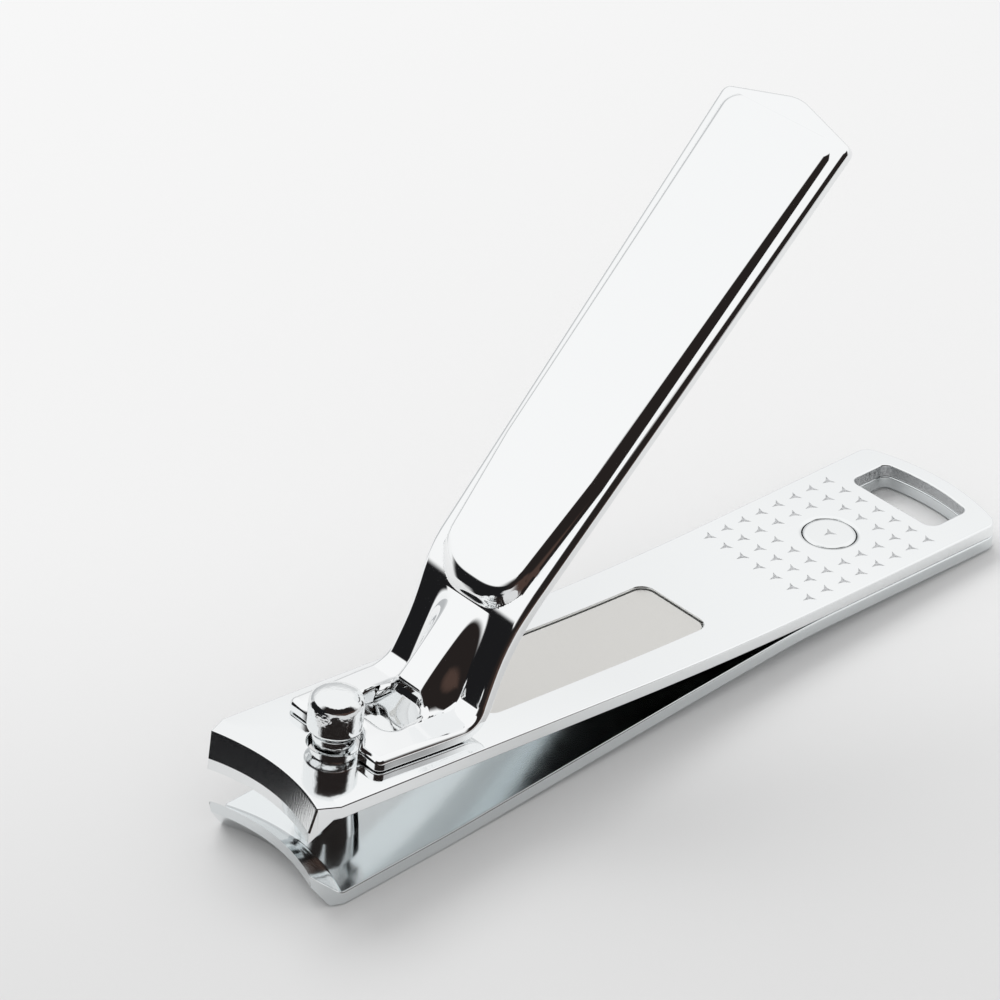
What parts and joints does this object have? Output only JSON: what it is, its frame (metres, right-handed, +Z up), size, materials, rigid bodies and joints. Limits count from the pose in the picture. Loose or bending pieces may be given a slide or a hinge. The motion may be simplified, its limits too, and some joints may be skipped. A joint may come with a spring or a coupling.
{
  "type": "compound-lever nail clipper",
  "caption": "Polished steel nail clipper: two sprung arms with concave jaws, a pin through both and a folding lever that presses them shut; slotted tail for a ring.",
  "frame": {"origin": "on the table, under the middle of the clipper's length and width", "axes": "+X from the jaws to the tail, +Y to the clipper's left when it is held with the jaws pointing away, +Z up from the table"},
  "size_m": [0.08, 0.0164, 0.05],
  "materials": {
    "polished_lower": "mirror-polished plated steel",
    "polished_upper": "mirror-polished plated steel",
    "satin_inlay": "satin steel",
    "polished_rivet": "polished steel",
    "polished_pin": "turned and polished steel",
    "polished_lever": "mirror-polished plated steel"
  },
  "bodies": {
    "lower_arm": {"lower_arm": "polished_lower", "upper_arm_tail": "polished_upper", "rear_rivet": "polished_rivet"},
    "upper_arm": {"upper_arm": "polished_upper", "inlay_plate": "satin_inlay"},
    "pin": {"pin": "polished_pin"},
    "lever": {"lever": "polished_lever"}
  },
  "joints": [
    {"name": "jaw_flex", "type": "hinge", "parent": "lower_arm", "child": "upper_arm", "pos_m": [0.0109, 0, 0.00353], "axis": [0, -1, 0], "range_deg": [0, 3.67], "stiffness_Nm_per_rad": 11},
    {"name": "pin_swivel", "type": "hinge", "parent": "lower_arm", "child": "pin", "pos_m": [-0.0321, 0, 0.00928], "axis": [0.1286, 0, 0.9917], "continuous": true},
    {"name": "lever_press", "type": "hinge", "parent": "pin", "child": "lever", "pos_m": [-0.03194, 0, 0.01052], "axis": [0, 1, 0], "range_deg": [0, 12]}
  ],
  "couplings": [
    {"joint": "jaw_flex", "follows": "lever_press", "ratio": 0.305}
  ]
}
